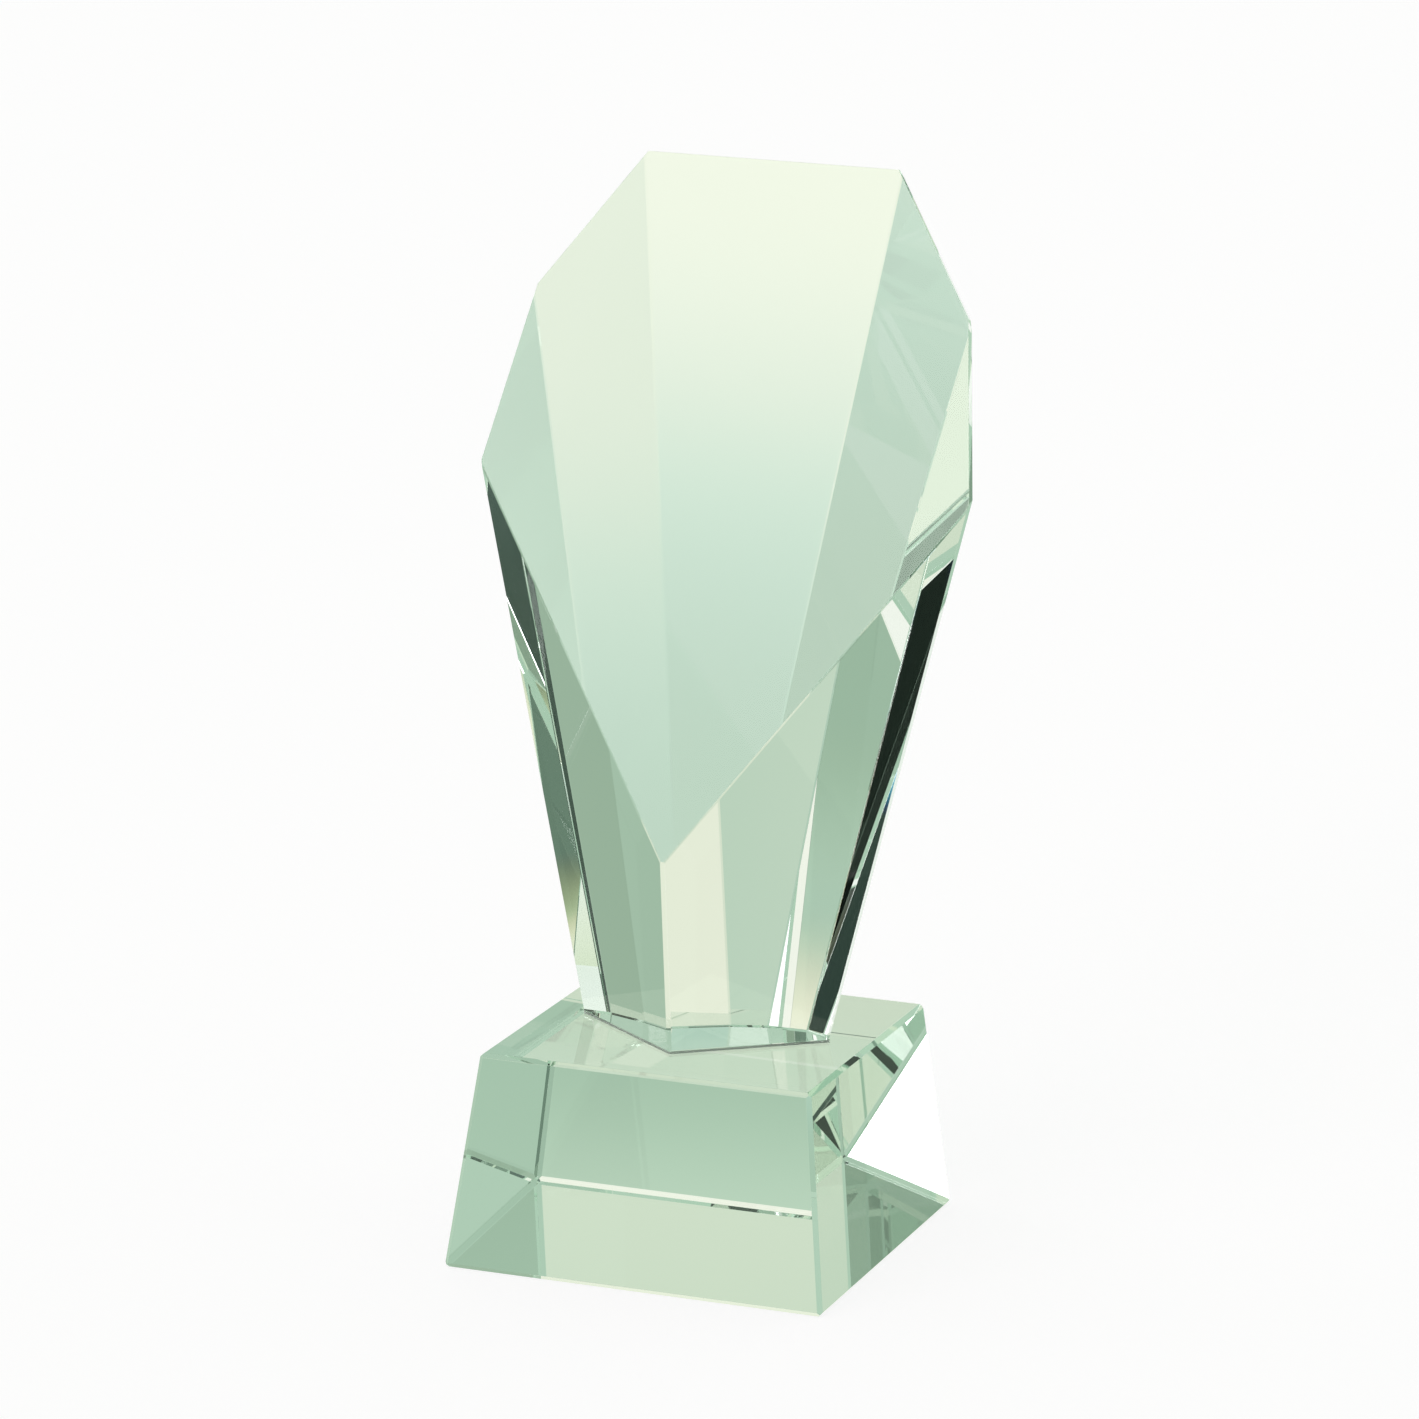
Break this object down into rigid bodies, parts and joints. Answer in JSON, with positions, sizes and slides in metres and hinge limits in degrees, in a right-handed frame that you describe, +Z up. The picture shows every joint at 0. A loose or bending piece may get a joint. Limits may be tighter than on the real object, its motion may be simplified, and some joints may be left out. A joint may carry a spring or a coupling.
{
  "type": "crystal award",
  "caption": "Clear optical crystal award: a seven-sided column that flares upwards to a long slanted face, glued upright on a tapered square glass base block.",
  "frame": {"origin": "centre of the base block's underside, on the surface the award stands on", "axes": "+Z up, -Y towards the viewer that the long slanted face leans back from, +X to the right in the award's front view"},
  "size_m": [0.1136, 0.0878, 0.2371],
  "materials": {
    "crystal": "polished clear optical glass, faintly green through its thickness",
    "adhesive": "clear cured adhesive, glossy"
  },
  "bodies": {
    "root": {"base_block": "crystal", "adhesive_film": "adhesive", "crystal_column": "crystal"}
  },
  "joints": []
}
